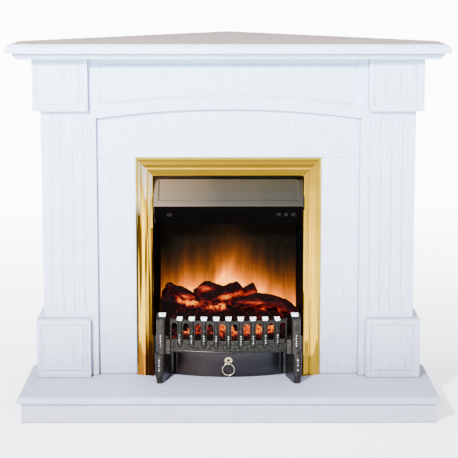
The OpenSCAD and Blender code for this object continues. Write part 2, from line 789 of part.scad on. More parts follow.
// The logs are bedded: the heap shapes their undersides, so they rest in it over their length
module back_logs() color("saddlebrown") in_row_frame()
    difference() {
        union() {
            log(hollow_log);
            log(hump_log);
            log(rear_log);
        }
        ember_heap();
    }
module front_logs() color("saddlebrown") in_row_frame()
    difference() {
        union() {
            log(centre_log);
            log(big_log);
        }
        ember_heap();
    }

// ---- fret ----
fret_z0 = hearth_z + fret_z;
bar_z = fret_z0 + 12;
bar_turn = bar_pitch / bow_r * 180 / PI;
fret_top = bar_z + bar_h - 5;
window_w = bar_pitch / 2;
window_z = fret_z0 + 35;

// Places its children on the bow at angle a, facing outwards
module on_bow(a) translate([0, bow_y, 0]) rotate([0, 0, a]) translate([0, -bow_r, 0]) children();
function crown(i) = bar_crown * (1 - pow(2 * i / (bar_n - 1) - 1, 2));

module keystone(w, h, d)
    intersection() {
        rotate([90, 0, 0])
            linear_extrude(4 * d, center = true)
            polygon([[-w / 2, h], [w / 2, h], [w * 0.32, 0], [-w * 0.32, 0]]);
        rotate([90, 0, 90])
            linear_extrude(2 * w, center = true)
            polygon([[d / 2, h], [-d / 2, h * 0.45], [-d / 4, 0], [d / 2, 0]]);
    }

module turned_bar(top)
    rotate_extrude()
    polygon([[0, 0], [bar_r * 0.55, 1], [bar_r * 0.88, 4.5], [bar_r, 10],
        [bar_r, top * 0.5], [bar_r * 0.8, top * 0.6], [bar_r * 0.92, top * 0.68],
        [bar_r * 0.72, top - 8], [bar_r * 0.84, top - 1], [0, top - 1]]);

pearl_r = 2.4;
rail_p = 2.5;
rail_h2 = 23;
drop_r = 4;
module fret() color("dimgray") in_row_frame() {
    difference() {
        intersection() {
            translate([0, bow_y, 0])
                rotate_extrude($fn = 180)
                union() {
                    translate([bow_r - fret_t, fret_z0]) square([fret_t, fret_top - fret_z0]);
                    translate([bow_r - fret_t, fret_z0]) square([fret_t + rail_p, rail_h2]);
                    translate([bow_r + rail_p - 1, fret_z0 + 4]) circle(3.2, $fn = 24);
                }
            translate([-fret_c, -fret_front - 20, 0]) cube([2 * fret_c, 2 * fret_bow + 20, big]);
        }
        for (i = [0 : bar_n])
            on_bow((i - bar_n / 2) * bar_turn) {
                translate([0, 0, window_z]) rotate([90, 0, 0])
                    linear_extrude(40, center = true)
                    union() {
                        translate([-window_w / 2, 0]) square([window_w, window_h - window_w / 2]);
                        translate([0, window_h - window_w / 2]) circle(window_w / 2);
                    }
                translate([0, 0, fret_top + 10]) rotate([90, 0, 0])
                    cylinder(h = 40, r = 12, center = true);
            }
    }
    for (i = [0 : bar_n])
        on_bow((i - bar_n / 2) * bar_turn)
            translate([0, -rail_p + 0.8, fret_z0 + 14]) sphere(drop_r, $fn = 20);
    for (i = [0 : bar_n - 1])
        on_bow((i - (bar_n - 1) / 2) * bar_turn)
            translate([0, -1, bar_z]) {
                turned_bar(bar_h - 8 + crown(i));
                translate([0, 0, bar_h - 12 + crown(i)]) keystone(2 * bar_cap_r, 12, 18);
                for (k = [0 : 3])
                    translate([0, -bar_r - 0.2, 18 + k * 6.5]) sphere(pearl_r, $fn = 20);
            }
}

// ---- posts ----
web_t = 5.5;
post_x = post_span / 2;
web_back = 4;
web_z = 80;
web_h = 40;
wing_back = 18;
column_r = 12.5;
column_z = 82;
cap_z = post_h - 14;
foot_z = 20;
band_h = 6;
leg_x = post_x + 9;
leg_y = -post_front + 11;
module post_cap_front()
    polygon([[post_x - 7, cap_z], [post_x + 16, cap_z], [post_x + 17, post_h], [post_x - 10, post_h]]);
module post_cap_side()
    polygon([[26, cap_z], [2, cap_z], [-3, cap_z + 7], [6, post_h], [26, post_h]]);
// Flared plate that runs back from the leg to the side of the ashpan cover
module post_wing()
    polygon([[leg_x - 9.5, leg_y - 3], [leg_x - 3, leg_y - 3],
        [fret_c + web_t, -wing_back], [fret_c + web_t, -web_back],
        [fret_c, -web_back], [fret_c, -wing_back]]);
module post(side) in_row_frame()
    right(side) {
        intersection() {
            translate([0, 0, hearth_z]) rotate([90, 0, 0])
                linear_extrude(2 * post_front, center = false) post_cap_front();
            translate([0, -post_front, hearth_z]) rotate([90, 0, 90])
                linear_extrude(big) post_cap_side();
        }
        translate([post_x + 4.5, -post_front + column_r, hearth_z + column_z])
            cylinder(h = cap_z + 2 - column_z, r = column_r);
        translate([leg_x, leg_y, hearth_z + foot_z + band_h - 1])
            cylinder(h = column_z + 4 - foot_z - band_h, r1 = column_r - 1.2, r2 = column_r + 0.6);
        translate([leg_x, leg_y, hearth_z + foot_z]) cylinder(h = band_h, r = column_r);
        translate([leg_x, leg_y, hearth_z]) cylinder(h = foot_z + 0.5, r1 = column_r - 4, r2 = column_r - 1);
        translate([0, 0, hearth_z]) linear_extrude(web_z + 2) post_wing();
        translate([fret_c, -post_front + 14, hearth_z + web_z])
            cube([post_x - fret_c, 8, web_h]);
        translate([fret_c, -post_front + 20, hearth_z + web_z])
            cube([web_t, post_front - 20 - web_back, web_h]);
        for (k = [0 : 4]) {
            translate([post_x + 5.5, -post_front - 0.2, hearth_z + 106 + k * 7]) sphere(2.6);
            translate([leg_x + 1, leg_y - column_r + 1.4, hearth_z + 38 + k * 7]) sphere(2.6);
        }
    }
module post_left() color("dimgray") post(-1);
module post_right() color("dimgray") post(1);

// ---- ashpan cover and its ring ----
pan_c = pan_w / 2;
pan_r = (pan_c * pan_c + pan_bow * pan_bow) / (2 * pan_bow);
pan_t = 2;
pan_z0 = hearth_z + hair;
pan_back = hair;
pan_centre = pan_r - pan_bow - pan_back;
pan_rib_r = 3;
pan_rib_x = pan_c - 9;
module ashpan_cover() color("darkslategray") in_row_frame() {
    intersection() {
        translate([0, pan_centre, 0])
            rotate_extrude($fn = 180)
            union() {
                translate([pan_r - pan_t, pan_z0]) square([pan_t, pan_h - hair]);
                translate([pan_r - pan_t, pan_z0 + 3]) square([pan_t + 1.2, 4]);
                translate([pan_r - pan_t, pan_z0 + pan_h - 8]) square([pan_t + 1.2, 4]);
            }
        translate([-pan_c, -big, 0]) cube([2 * pan_c, big - pan_back, big]);
    }
    for (side = [-1, 1])
        translate([side * pan_rib_x, pan_centre - sqrt(pan_r * pan_r - pan_rib_x * pan_rib_x) - 0.5, pan_z0])
            cylinder(h = pan_h - hair, r = pan_rib_r);
}

boss_y = -pan_bow - pan_back;
ring_y = boss_y - ring_stand;
pivot_z = hearth_z + ring_z;
ball_r = 4.8;
ball_up = 6.4;
eye_r = ring_wire + 0.5;
rose_r = 10.5;
module ring_boss() color("silver") in_row_frame()
    difference() {
        union() {
            translate([0, boss_y + 1, pivot_z + ball_up]) rotate([90, 0, 0]) {
                cylinder(h = 3.4, r = rose_r);
                cylinder(h = 5, r = rose_r * 0.72);
                cylinder(h = ring_stand, r = ball_r * 0.8);
            }
            translate([0, ring_y, pivot_z + ball_up]) sphere(ball_r);
            translate([0, ring_y, pivot_z]) rotate([0, 90, 0])
                cylinder(h = 5, r = eye_r + 1.7, center = true);
            translate([-2.5, ring_y - 2, pivot_z]) cube([5, 4, ball_up]);
        }
        translate([0, ring_y, pivot_z]) rotate([0, 90, 0]) cylinder(h = 12, r = eye_r, center = true);
        translate([0, pan_centre, 0]) cylinder(h = big, r = pan_r, $fn = 180);
    }

module ring_pull() color("silver") in_row_frame()
    translate([0, ring_y, pivot_z - ring_r]) rotate([90, 0, 0])
    rotate_extrude($fn = 64) translate([ring_r, 0]) circle(ring_wire, $fn = 24);

// ---- machinery ----
rotor_y = (screen_y + screen_t + insert_d - sheet) / 2;
rotor_z = hearth_z + 150;
bush_len = 8;
motor_len = 22;
motor_r = 23;
blade_w = 30;
blade_t = 0.8;
module flame_rotor() color("silver") in_row_frame()
    translate([0, rotor_y, rotor_z]) {
        translate([-house_x + 1, 0, 0]) rotate([0, 90, 0])
            cylinder(h = 2 * house_x - motor_len + 14, r = spindle_r);
        for (i = [0 : rotor_rows - 1])
            translate([(i - (rotor_rows - 1) / 2) * 36 - 8, 0, 0])
                rotate([i * 40, 0, 0])
                for (a = [0, 120, 240])
                    rotate([a, 0, 0])
                    translate([-blade_w / 2, -blade_t / 2, spindle_r - 1])
                        cube([blade_w, blade_t, rotor_r - spindle_r + 1]);
    }
module rotor_bush() color("goldenrod") in_row_frame()
    translate([-house_x, rotor_y, rotor_z]) rotate([0, 90, 0])
    difference() {
        union() {
            cylinder(h = bush_len, r = 6);
            cylinder(h = 2, r = 11);
        }
        translate([0, 0, -1]) cylinder(h = bush_len + 2, r = spindle_r + run_gap);
    }
module rotor_motor() color("lightgray") in_row_frame()
    translate([house_x - motor_len, rotor_y, rotor_z]) rotate([0, 90, 0])
    difference() {
        union() {
            cylinder(h = motor_len, r = motor_r);
            translate([0, 0, motor_len - 2]) intersection() {
                translate([-8, -35, 0]) cube([16, 70, 2]);
                cylinder(h = 2, r = 34);
            }
        }
        translate([0, 0, -1]) cylinder(h = 17, r = spindle_r + run_gap);
    }

fan_y = 118;
fan_z = heater_z + sheet + 74;
duct_in = fan_r + 4;
duct_out = duct_in + sheet;
plate_in = fan_len / 2 + 2;
duct_front = 64;
module fan_impeller() color("silver") in_row_frame()
    translate([0, fan_y, fan_z]) rotate([90, 0, 90]) {
        linear_extrude(fan_len, center = true)
            for (i = [0 : fan_blades - 1])
                rotate([0, 0, i * 360 / fan_blades])
                intersection() {
                    translate([fan_r - 4.5, 8.6])
                        difference() {
                            circle(9);
                            circle(8.2);
                        }
                    translate([fan_r - 7.5, -3]) square([7, 6.5]);
                }
        for (x = [-fan_len / 2, -0.75, fan_len / 2 - 1.5])
            translate([0, 0, x]) cylinder(h = 1.5, r = fan_r);
        cylinder(h = fan_len + 34, r = spindle_r, center = true);
    }
module fan_casing() color("lightgray") in_row_frame()
    translate([0, fan_y, fan_z]) rotate([90, 0, 90]) {
        linear_extrude(2 * plate_in, center = true) {
            difference() {
                circle(duct_out);
                circle(duct_in);
                translate([-2 * duct_out, -2 * duct_out]) square(2 * duct_out);
                square(2 * duct_out);
            }
            translate([-duct_front, -duct_out]) square([duct_front + 0.1, sheet]);
            translate([-duct_front, -sheet / 2]) square([duct_front - duct_in, sheet]);
        }
        for (x = [-plate_in - sheet, plate_in])
            translate([0, 0, x])
            linear_extrude(sheet)
            difference() {
                translate([-duct_front, -74]) square([duct_front + duct_out, 74 + duct_out]);
                circle(spindle_r + run_gap);
            }
    }
fan_motor_len = 26;
module fan_motor() color("gray") in_row_frame()
    translate([plate_in + sheet, fan_y, fan_z]) {
        rotate([0, 90, 0])
            difference() {
                cylinder(h = fan_motor_len, r = 22);
                translate([0, 0, -1]) cylinder(h = 18, r = spindle_r + run_gap);
            }
        translate([4, -12, -74]) cube([14, 24, 56]);
    }

element_y = fan_y - duct_front + 6;
element_z0 = fan_z - duct_in;
element_h = duct_in - sheet / 2;
fin_n = 24;
module heating_element() color("silver") in_row_frame() {
    for (z = [element_z0, element_z0 + element_h - 4])
        translate([-plate_in, element_y, z]) cube([2 * plate_in, 14, 4]);
    for (i = [0 : fin_n - 1])
        translate([-plate_in + 4 + i * (2 * plate_in - 9) / (fin_n - 1), element_y + 2, element_z0 + 3])
            cube([1, 10, element_h - 6]);
    translate([60, element_y + 10, fan_z + sheet / 2]) cylinder(h = 7, r = 8);
}

strip_y = [40, rotor_y];
module led_strips() color("lightyellow") in_row_frame()
    for (y = strip_y)
        translate([0, y, house_z0]) {
            translate([-180, -6, 0]) cube([360, 12, 1.6]);
            for (i = [0 : 11])
                translate([(i - 5.5) * 30 - 2.5, -2.5, 1.6]) cube([5, 5, 1.2]);
        }

module in_row_frame() translate([0, fascia_y, 0]) children();

mantel_board();
mantel_subboard();
cornice_front();
cornice_returns();
frieze_board();
face_board_left();
face_board_right();
cap_block_left();
cap_block_right();
base_block_left();
base_block_right();
block_returns();
side_panel_left();
side_panel_right();
fascia_header();
fascia_left();
fascia_right();
hearth_slab();
plinth_front();
plinth_left();
plinth_right();
carcass_battens();
wall_rails();
trim_left();
trim_right();
trim_top();
housing_left();
housing_right();
housing_top();
housing_base();
housing_back();
heater_shelf();
hood();
vent_panel();
switch_power();
switch_low_heat();
switch_high_heat();
switch_frames();
receiver_window();
cheek_left();
cheek_right();
flame_screen();
ember_bed();
led_strips();
back_logs();
front_logs();
fret();
post_left();
post_right();
ashpan_cover();
ring_boss();
ring_pull();
flame_rotor();
rotor_motor();
rotor_bush();
fan_impeller();
fan_casing();
fan_motor();
heating_element();
mains_gland();
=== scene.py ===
import math

import bpy
import numpy as np
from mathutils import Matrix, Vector, noise


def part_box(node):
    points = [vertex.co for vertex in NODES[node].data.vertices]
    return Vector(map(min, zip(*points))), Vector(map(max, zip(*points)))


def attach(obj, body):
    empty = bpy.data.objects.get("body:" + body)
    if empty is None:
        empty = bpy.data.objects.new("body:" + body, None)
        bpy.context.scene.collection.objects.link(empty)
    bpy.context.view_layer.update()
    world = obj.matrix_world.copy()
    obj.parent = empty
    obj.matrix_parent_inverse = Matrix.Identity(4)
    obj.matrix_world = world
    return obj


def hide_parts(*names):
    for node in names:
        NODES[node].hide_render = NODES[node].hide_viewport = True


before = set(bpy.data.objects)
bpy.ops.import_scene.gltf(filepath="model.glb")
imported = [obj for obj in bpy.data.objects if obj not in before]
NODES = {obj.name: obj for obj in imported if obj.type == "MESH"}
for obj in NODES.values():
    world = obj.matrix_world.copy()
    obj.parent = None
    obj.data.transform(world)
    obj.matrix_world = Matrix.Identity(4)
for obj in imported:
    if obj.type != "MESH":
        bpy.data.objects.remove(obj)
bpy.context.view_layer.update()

FASCIA_Y = -0.2105              # front face of the fascia, in metres
CAMERA_AT = (-0.0094, -3.8338, 1.194)
WINDOW_STEP = 33.2              # between the bars of the fret, and so between its windows, in mm
BARS = 9
BLANK, FULL = (0, 0, 0), (1, 1, 1)


# ---- node helpers ----
def new_material(name, color=(0.8, 0.8, 0.8), metallic=0.0, rough=0.5, coat=0.0, spec=0.5):
    """A new material, its node tree and its shader."""
    m = bpy.data.materials.new(name)
    m.use_nodes = True
    b = m.node_tree.nodes["Principled BSDF"]
    b.inputs["Base Color"].default_value = (*color, 1)
    b.inputs["Metallic"].default_value = metallic
    b.inputs["Roughness"].default_value = rough
    b.inputs["Coat Weight"].default_value = coat
    b.inputs["Specular IOR Level"].default_value = spec
    return m, m.node_tree, b


def add(tree, kind, **values):
    n = tree.nodes.new(kind)
    for key, value in values.items():
        setattr(n, key, value)
    return n


def link(tree, a, b):
    tree.links.new(a, b)


def coords(tree, scale=(1, 1, 1), loc=(0, 0, 0)):
    """Place on the piece in metres, scaled and then shifted."""
    tc = add(tree, "ShaderNodeTexCoord")
    mp = add(tree, "ShaderNodeMapping")
    mp.inputs["Scale"].default_value = scale
    mp.inputs["Location"].default_value = loc
    link(tree, tc.outputs["Object"], mp.inputs["Vector"])
    return mp.outputs["Vector"]


def axes(tree, vector):
    """The x, y and z of a vector."""
    n = add(tree, "ShaderNodeSeparateXYZ")
    link(tree, vector, n.inputs[0])
    return n.outputs[0], n.outputs[1], n.outputs[2]


def facing_up(tree):
    """1 where the surface looks up, 0 where it is upright."""
    return axes(tree, add(tree, "ShaderNodeNewGeometry").outputs["Normal"])[2]


def noise_tex(tree, vector, scale=1.0, detail=4.0, rough=0.55, distortion=0.0):
    n = add(tree, "ShaderNodeTexNoise")
    n.inputs["Scale"].default_value = scale
    n.inputs["Detail"].default_value = detail
    n.inputs["Roughness"].default_value = rough
    n.inputs["Distortion"].default_value = distortion
    link(tree, vector, n.inputs["Vector"])
    return n.outputs["Fac"]


def ramp(tree, fac, stops):
    """Colour ramp with the given (place, colour) stops."""
    r = add(tree, "ShaderNodeValToRGB")
    els = r.color_ramp.elements
    while len(els) < len(stops):
        els.new(0.5)
    for e, (place, color) in zip(els, stops):
        e.position = place
        e.color = (*color, 1)
    link(tree, fac, r.inputs["Fac"])
    return r.outputs["Color"]


def maths(tree, op, a, b=None, c=None, clamp=False):
    n = add(tree, "ShaderNodeMath", operation=op, use_clamp=clamp)
    for i, v in enumerate((a, b, c)):
        if v is None:
            continue
        if isinstance(v, (int, float)):
            n.inputs[i].default_value = v
        else:
            link(tree, v, n.inputs[i])
    return n.outputs[0]


def blended(tree, factor, a, b, kind="MIX"):
    """Two colours mixed; the factor and each colour may be a socket or a constant."""
    n = add(tree, "ShaderNodeMix", data_type="RGBA", blend_type=kind)
    for socket, value in ((n.inputs["Factor"], factor), (n.inputs[6], a), (n.inputs[7], b)):
        if isinstance(value, tuple):
            socket.default_value = (*value, 1)
        elif isinstance(value, float):
            socket.default_value = value
        else:
            link(tree, value, socket)
    return n.outputs[2]


def band(tree, value, centre, half):
    """1 where the value lies within half of the centre."""
    away = maths(tree, "ABSOLUTE", maths(tree, "SUBTRACT", value, centre))
    return maths(tree, "LESS_THAN", away, half)


def bump(tree, height, bsdf, strength=0.3, distance=0.001):
    b = add(tree, "ShaderNodeBump")
    b.inputs["Strength"].default_value = strength
    b.inputs["Distance"].default_value = distance
    link(tree, height, b.inputs["Height"])
    link(tree, b.outputs["Normal"], bsdf.inputs["Normal"])


# ---- materials ----
def veneer(name, along, top=None):
    """White open-pored lacquer, its grain along x, y or z, with painted shade low down and in the
    grooves. 'top' is a painted tint of light and shade on the faces that look up.
    """
    m, t, b = new_material(name, rough=0.42, coat=0.0 if top else 0.15, spec=0.15 if top else 0.5)
    figure_scale, pore_scale = [70, 70, 70], [480, 480, 480]
    figure_scale["xyz".index(along)] = 5
    pore_scale["xyz".index(along)] = 15
    figure = noise_tex(t, coords(t, figure_scale), 1, 5, 0.6, 0.8)
    pores = noise_tex(t, coords(t, pore_scale), 1, 2, 0.5, 0.0)
    color = ramp(t, figure, [(0.25, (0.55, 0.71, 0.93)), (0.5, (0.60, 0.76, 0.97)),
                             (0.7, (0.62, 0.78, 0.99))])
    dark = ramp(t, pores, [(0.34, (0.70, 0.72, 0.77)), (0.44, FULL)])
    color = blended(t, 1.0, color, dark, "MULTIPLY")
    # painted shade: greyer towards the floor, where less of the room's light comes
    low = ramp(t, axes(t, coords(t))[2], [(0.03, (0.52, 0.42, 0.42)), (0.09, (0.58, 0.49, 0.48)),
                                          (0.30, (0.90, 0.82, 0.80)), (0.70, FULL)])
    color = blended(t, 1.0, color, low, "MULTIPLY")
    # painted shade: the grooves and corners hold a thin dark line, taken from an occlusion node
    groove_occlusion = add(t, "ShaderNodeAmbientOcclusion", samples=8)
    groove_occlusion.inputs["Distance"].default_value = 0.007
    painted_groove_shade = ramp(t, groove_occlusion.outputs["AO"], [(0.40, (0.12, 0.12, 0.14)), (0.85, FULL)])
    color = blended(t, 1.0, color, painted_groove_shade, "MULTIPLY")
    if top:
        # painted light and shade: faces that look up take the 'top' tint, for how the light falls
        # on them
        top_face_tint_mask = ramp(t, facing_up(t), [(0.90, BLANK), (0.97, FULL)])
        color = blended(t, top_face_tint_mask, color, top, "MULTIPLY")
    link(t, color, b.inputs["Base Color"])
    bump(t, maths(t, "ADD", maths(t, "MULTIPLY", figure, 0.5), pores), b, 0.22, 0.0012)
    return m


def brass_material(name, streaks):
    """Polished brass; 'streaks' paints on it, as painted reflections, the dark and pale stripes of
    a room that it mirrors.
    """
    m, t, b = new_material(name, (0.55, 0.29, 0.025), 1.0, 0.15)
    smear = noise_tex(t, coords(t, (3, 3, 9)), 1, 3, 0.5, 0.6)
    link(t, maths(t, "MULTIPLY_ADD", smear, 0.08, 0.05), b.inputs["Roughness"])
    color = ramp(t, smear, [(0.3, (0.60, 0.33, 0.012)), (0.7, (0.74, 0.44, 0.025))])
    if streaks:
        x, _, z = axes(t, coords(t))
        plain = (0.66, 0.39, 0.02)
        reflection_bands = noise_tex(t, coords(t, (115, 0, 3.2), (0.45, 0, 0)), 1, 1, 0.4, 0.35)
        dark = ramp(t, reflection_bands, [(0.465, (0.07, 0.05, 0.025)), (0.515, (0.9, 0.9, 0.9)),
                               (0.56, FULL)])
        pale = ramp(t, reflection_bands, [(0.40, (0.97, 0.86, 0.66)), (0.46, plain), (0.60, plain),
                               (0.66, (0.98, 0.85, 0.45))])
        # painted reflections: dark stripes below, pale ones in the top 10 cm
        pale_reflection_zone = ramp(t, z, [(0.520, BLANK), (0.575, FULL)])
        color = blended(t, pale_reflection_zone, blended(t, 1.0, color, dark, "MULTIPLY"), pale)
        # painted reflections: its inner fold mirrors the dark fire opening, and its foot something
        # reddish brown
        inner_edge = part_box("trim_left")[1][0]
        fold_reflection = maths(t, "MULTIPLY", band(t, x, inner_edge - 0.003, 0.0035),
                     band(t, z, 0.34, 0.15))
        foot_reflection = maths(t, "MULTIPLY_ADD", z, -14.0, 2.9, clamp=True)
        color = blended(t, fold_reflection, color, (0.22, 0.16, 0.12), "MULTIPLY")
        color = blended(t, foot_reflection, color, (0.82, 0.55, 0.60), "MULTIPLY")
    link(t, color, b.inputs["Base Color"])
    return m


# The hood's slope goes this far back and up, and ends this far under the hood's top
SLOPE_Y, SLOPE_Z, HOOD_RIM = 0.056, 0.0728, 0.005
# The bead round its panel: in from each side, and how far up the slope its two long runs lie
BEAD_INSET, PANEL_LOW, PANEL_HIGH = 0.014, 0.014, 0.078


def hood_material():
    """Bronze enamel, with painted light that makes it paler to the left, and painted light and
    shade on the bead round the panel.
    """
    m, t, b = new_material("bronze_enamel_painted_light", (0.1, 0.08, 0.055), 0.6, 0.42)
    fleck = noise_tex(t, coords(t, (520, 520, 520)), 1, 3, 0.7)
    bump(t, fleck, b, 0.30, 0.0010)
    x, _, z = axes(t, coords(t))
    # painted light: the enamel is paler to the left, where the light falls on it
    color = ramp(t, maths(t, "MULTIPLY_ADD", x, 2.3, 0.5, clamp=True),
                 [(0.0, (0.145, 0.098, 0.060)), (0.45, (0.042, 0.034, 0.022)),
                  (1.0, (0.024, 0.021, 0.014))])
    _, (edge, _, top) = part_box("hood")
    lip = top - HOOD_RIM - SLOPE_Z
    fall = math.cos(math.atan2(SLOPE_Y, SLOPE_Z))
    side, low, high = edge - BEAD_INSET, lip + PANEL_LOW * fall, lip + PANEL_HIGH * fall
    tall = band(t, z, (low + high) / 2, (high - low) / 2)
    wide = band(t, x, 0.0, side)
    # painted shade and light: the left and lower runs of the bead are in shade, the others catch
    # the light
    for run, extent, gain in ((band(t, x, -side, 0.0018), tall, 0.35),
                              (band(t, z, low, 0.0016), wide, 0.60),
                              (band(t, x, side, 0.0016), tall, 2.2),
                              (band(t, z, high, 0.0016), wide, 1.8)):
        color = blended(t, maths(t, "MULTIPLY", run, extent), color, (gain,) * 3, "MULTIPLY")
    link(t, color, b.inputs["Base Color"])
    return m


POST_CAP_X = 0.1795             # from the middle of the fire to the middle of a post's cap
BAR_CAP, POST_CAP = 0.0088, 0.0095      # half the width of their upper edges


def metal_with_rubbed_highlit_caps(name, left, right, high, rough=0.30, mottle=0.6,
                 piece="fret", rim=0.0075, crown=0.2268):
    """Dark lacquer, from one tone on the left to another on the right, rubbed pale and with a
    painted highlight on its caps.

    The pale part reaches 'rim' down from the piece's top, which falls by 'crown' times x squared.
    """
    m, t, b = new_material(name, left, 0.85, rough)
    patch = noise_tex(t, coords(t, (160, 160, 160)), 1, 4)
    x, _, z = axes(t, coords(t))
    tone = ramp(t, maths(t, "MULTIPLY_ADD", x, 3.0, 0.5, clamp=True), [(0.0, left), (1.0, right)])
    mottled = ramp(t, patch, [(0.30, (1 - mottle,) * 3), (0.70, (1 + mottle,) * 3)])
    body = blended(t, 1.0, tone, mottled, "MULTIPLY")
    # the caps catch hands and dust, and carry a painted highlight: a pale trapezium on each, wider
    # at its upper edge
    fallen = maths(t, "MULTIPLY_ADD", maths(t, "MULTIPLY", x, x), crown, z)
    below = maths(t, "SUBTRACT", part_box(piece)[1][2], fallen)
    if piece == "fret":
        off, half = maths(t, "PINGPONG", x, WINDOW_STEP / 2000), BAR_CAP
    else:
        away = maths(t, "SUBTRACT", maths(t, "ABSOLUTE", x), POST_CAP_X)
        off, half = maths(t, "ABSOLUTE", away), POST_CAP
    on_cap = maths(t, "LESS_THAN", off, maths(t, "MULTIPLY_ADD", below, -0.4, half))
    cap_wear_and_highlight = maths(t, "MULTIPLY_ADD", below, -800.0, 800.0 * rim, clamp=True)
    cap_wear_and_highlight = maths(t, "MULTIPLY_ADD", maths(t, "MULTIPLY", cap_wear_and_highlight, on_cap), 0.85, 0.15)
    # painted highlight: faces that look up are paler, as the light falls from above
    up = maths(t, "MULTIPLY_ADD", patch, 0.20, maths(t, "SUBTRACT", facing_up(t), 0.10))
    pale = ramp(t, maths(t, "MULTIPLY", up, cap_wear_and_highlight), [(0.30, BLANK), (0.80, FULL)])
    link(t, blended(t, pale, body, high), b.inputs["Base Color"])
    link(t, maths(t, "MULTIPLY_ADD", pale, -0.75, 0.85), b.inputs["Metallic"])
    bump(t, patch, b, 0.35, 0.0012)
    return m


# radiance of the flames from the dark screen to their bright foot; ten times this is given off
FLAMES = [(0.02, (0.0004, 0.0003, 0.0002)), (0.16, (0.0015, 0.0008, 0.0004)),
          (0.28, (0.0031, 0.0011, 0.0004)), (0.40, (0.0075, 0.0022, 0.0005)),
          (0.52, (0.0185, 0.0042, 0.0006)), (0.64, (0.042, 0.0095, 0.0006)),
          (0.76, (0.100, 0.0220, 0.0004)), (0.88, (0.22, 0.046, 0.0006)),
          (1.0, (0.42, 0.125, 0.013))]
FLAME_FOOT, FLAME_TALL = 0.255, 0.235   # the foot's height over the floor, and on to the heater


def flame_material():
    """The flame picture on the screen, lit from behind."""
    m, t, b = new_material("flame_picture", (0.002, 0.0015, 0.001), 0.0, 0.5, spec=0.0)
    x, _, z = axes(t, coords(t))
    height = maths(t, "MULTIPLY_ADD", z, 1 / FLAME_TALL, -FLAME_FOOT / FLAME_TALL)
    off = maths(t, "ABSOLUTE", maths(t, "SUBTRACT", x, 0.004))
    glow = maths(t, "SUBTRACT", 1.46, maths(t, "MULTIPLY", height, 1.38))
    glow = maths(t, "SUBTRACT", glow, maths(t, "MULTIPLY", off, 2.7))
    # tongues, streaks and wisps: scale, shift, roughness, distortion, weight
    for scale, shift, rough, bend, weight in (((13, 1, 3.4), (0.63, 0, 0.3), 0.5, 0.9, 0.62),
                                              ((46, 1, 5), (0, 0, 0), 0.5, 0.4, 0.26),
                                              ((130, 1, 13), (0, 0, 0), 0.55, 0.3, 0.10)):
        wave = noise_tex(t, coords(t, scale, shift), 1, 2, rough, bend)
        glow = maths(t, "MULTIPLY_ADD", maths(t, "SUBTRACT", wave, 0.5), weight, glow)
    color = ramp(t, maths(t, "MULTIPLY_ADD", glow, 0.94, -0.02), FLAMES)
    link(t, color, b.inputs["Emission Color"])
    b.inputs["Emission Strength"].default_value = 10.0
    return m


# radiance of a coal from black through red to yellow; five times this is given off
HEAT = [(0.16, BLANK), (0.30, (0.004, 0.0002, 0.0003)), (0.46, (0.024, 0.0011, 0.0012)),
        (0.60, (0.085, 0.0040, 0.0020)), (0.74, (0.20, 0.016, 0.0015)),
        (0.88, (0.29, 0.050, 0.0008)), (1.0, (0.40, 0.120, 0.002))]


def lit_material(name, dark, pale, spots_scale, spots_gain, depth):
    """Painted coal or bark, lit through where the mesh's own attribute 'glow' is high."""
    m, t, b = new_material(name, dark, 0.0, 0.8, spec=0.02)
    glow = add(t, "ShaderNodeAttribute", attribute_name="glow").outputs["Fac"]
    spots = noise_tex(t, coords(t, spots_scale), 1, 4, 0.6, 0.6)
    level = maths(t, "MULTIPLY_ADD", maths(t, "SUBTRACT", spots, 0.5), spots_gain, glow)
    link(t, ramp(t, level, HEAT), b.inputs["Emission Color"])
    b.inputs["Emission Strength"].default_value = 5.0
    link(t, ramp(t, spots, [(0.3, dark), (0.7, pale)]), b.inputs["Base Color"])
    bump(t, spots, b, 0.7, depth)
    return m


def simple(name, color, metallic, rough, grain=0.0, scale=600, spec=0.5):
    """One colour with a fine grain in its gloss, and in its surface too where 'grain' is given."""
    m, t, b = new_material(name, color, metallic, rough, spec=spec)
    fine = noise_tex(t, coords(t, (scale,) * 3), 1, 3)
    link(t, maths(t, "MULTIPLY_ADD", fine, 0.18, rough - 0.09), b.inputs["Roughness"])
    if grain:
        bump(t, fine, b, grain, 0.0008)
    return m


def batten_material():
    m, t, b = new_material("sawn_softwood", (0.5, 0.36, 0.2), 0.0, 0.75)
    rings = noise_tex(t, coords(t, (60, 60, 6)), 1, 5, 0.6, 1.0)
    color = ramp(t, rings, [(0.3, (0.36, 0.22, 0.11)), (0.7, (0.60, 0.43, 0.25))])
    link(t, color, b.inputs["Base Color"])
    bump(t, rings, b, 0.4, 0.001)
    return m


def bead_rubs_and_highlights():
    """Rubbed faces of the beads with painted highlights, some of them still dark."""
    m, t, b = new_material("bead_rubs_and_highlights", (0.5, 0.49, 0.46), 0.4, 0.25)
    bead_rub_and_sheen = noise_tex(t, coords(t, (140, 140, 210)), 1, 2, 0.5)
    color = ramp(t, bead_rub_and_sheen, [(0.40, (0.05, 0.045, 0.04)), (0.56, (0.95, 0.93, 0.90))])
    link(t, color, b.inputs["Base Color"])
    return m


def lamp_material():
    m, _, b = new_material("lamp_strip", (0.8, 0.6, 0.4), 0.0, 0.4)
    b.inputs["Emission Color"].default_value = (1.0, 0.42, 0.12, 1)
    b.inputs["Emission Strength"].default_value = 2.0
    return m


# the pale of the rubbed caps, which is also a painted highlight
RUBBED_CAP_HIGHLIGHT = (0.95, 0.94, 0.93)
VENEER_Z = veneer("veneer_vertical", "z")
VENEER_X = veneer("veneer_horizontal", "x")
VENEER_Y = veneer("veneer_depth", "y")
